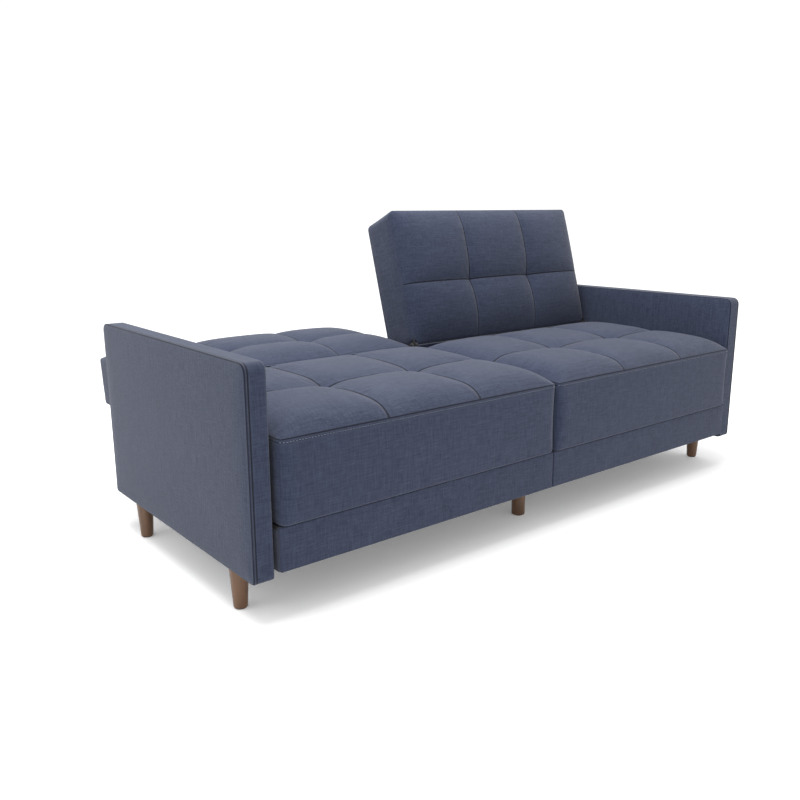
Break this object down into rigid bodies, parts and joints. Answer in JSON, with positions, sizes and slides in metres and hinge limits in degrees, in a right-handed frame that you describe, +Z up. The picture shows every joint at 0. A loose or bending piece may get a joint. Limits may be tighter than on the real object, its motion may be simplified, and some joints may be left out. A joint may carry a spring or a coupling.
{
  "type": "sofa bed",
  "caption": "Low sofa bed with a split back: each half of the back folds flat level with its seat on ratchet hinges, between thin panel arms on turned legs.",
  "frame": {"origin": "on the floor, at the centre of the footprint that the sofa has with one back laid flat", "axes": "+X along the sofa towards its right arm as seen from the front, +Y from the front to the rear, +Z up"},
  "size_m": [2.07, 1.16, 0.9504],
  "materials": {
    "cover_cloth": "matt slate-blue linen weave",
    "wrapped_board": "boards wrapped in slate-blue linen",
    "deck_board": "board under black cloth",
    "walnut": "satin stained hardwood",
    "timber": "planed softwood and plywood",
    "hardboard": "smooth pressed board",
    "coil_cloth": "non-woven spring sleeves",
    "strap": "elastic webbing",
    "lining": "black non-woven cloth",
    "black_steel": "black powder coat",
    "zinc_steel": "zinc plated",
    "glide_plastic": "hard-wearing nylon"
  },
  "bodies": {
    "sofa": {"left_arm_cover": "cover_cloth", "left_apron": "cover_cloth", "left_seat_cushion": "cover_cloth", "left_arm_frame": "timber", "left_seat_frame": "timber", "left_base_frame": "wrapped_board", "left_base_deck": "deck_board", "left_arm_boards": "hardboard", "left_front_leg": "walnut", "left_rear_leg": "walnut", "left_seat_coils": "coil_cloth", "left_pawl_springs": "zinc_steel", "left_hinge_rivets": "black_steel", "left_outer_seat_plate": "black_steel", "left_inner_seat_plate": "black_steel", "right_arm_cover": "cover_cloth", "right_apron": "cover_cloth", "right_seat_cushion": "cover_cloth", "right_arm_frame": "timber", "right_seat_frame": "timber", "right_base_frame": "wrapped_board", "right_base_deck": "deck_board", "right_arm_boards": "hardboard", "right_front_leg": "walnut", "right_rear_leg": "walnut", "right_seat_coils": "coil_cloth", "right_pawl_springs": "zinc_steel", "right_hinge_rivets": "black_steel", "right_outer_seat_plate": "black_steel", "right_inner_seat_plate": "black_steel", "centre_front_leg": "walnut", "centre_rear_leg": "walnut", "arm_cleats": "wrapped_board", "base_dust_cloths": "lining", "arm_bolts": "zinc_steel", "base_join_bolts": "zinc_steel", "leg_bolts": "zinc_steel", "leg_plates": "zinc_steel", "seat_hinge_screws": "zinc_steel", "leg_glides": "glide_plastic"},
    "left_back": {"left_back_cushion": "cover_cloth", "left_back_frame": "timber", "left_back_webbing": "strap", "left_back_rear_panel": "cover_cloth", "left_back_screws": "zinc_steel", "left_outer_back_plate": "black_steel", "left_inner_back_plate": "black_steel"},
    "left_outer_pawl": {"left_outer_pawl": "black_steel"},
    "left_inner_pawl": {"left_inner_pawl": "black_steel"},
    "right_back": {"right_back_cushion": "cover_cloth", "right_back_frame": "timber", "right_back_webbing": "strap", "right_back_rear_panel": "cover_cloth", "right_back_screws": "zinc_steel", "right_outer_back_plate": "black_steel", "right_inner_back_plate": "black_steel"},
    "right_outer_pawl": {"right_outer_pawl": "black_steel"},
    "right_inner_pawl": {"right_inner_pawl": "black_steel"}
  },
  "joints": [
    {"name": "left_back_fold", "type": "hinge", "parent": "sofa", "child": "left_back", "pos_m": [-0.49, 0.099, 0.488], "axis": [1, 0, 0], "range_deg": [0, 82]},
    {"name": "right_back_fold", "type": "hinge", "parent": "sofa", "child": "right_back", "pos_m": [0.49, 0.099, 0.488], "axis": [1, 0, 0], "range_deg": [-74, 8]},
    {"name": "left_outer_pawl_drop", "type": "hinge", "parent": "sofa", "child": "left_outer_pawl", "pos_m": [-0.9578, 0.083, 0.442], "axis": [1, 0, 0], "range_deg": [0, 13], "stiffness_Nm_per_rad": 0.05},
    {"name": "left_inner_pawl_drop", "type": "hinge", "parent": "sofa", "child": "left_inner_pawl", "pos_m": [-0.0092, 0.083, 0.442], "axis": [1, 0, 0], "range_deg": [0, 13], "stiffness_Nm_per_rad": 0.05},
    {"name": "right_inner_pawl_drop", "type": "hinge", "parent": "sofa", "child": "right_inner_pawl", "pos_m": [0.0092, 0.083, 0.442], "axis": [1, 0, 0], "range_deg": [0, 13], "stiffness_Nm_per_rad": 0.05},
    {"name": "right_outer_pawl_drop", "type": "hinge", "parent": "sofa", "child": "right_outer_pawl", "pos_m": [0.9578, 0.083, 0.442], "axis": [1, 0, 0], "range_deg": [0, 13], "stiffness_Nm_per_rad": 0.05}
  ]
}
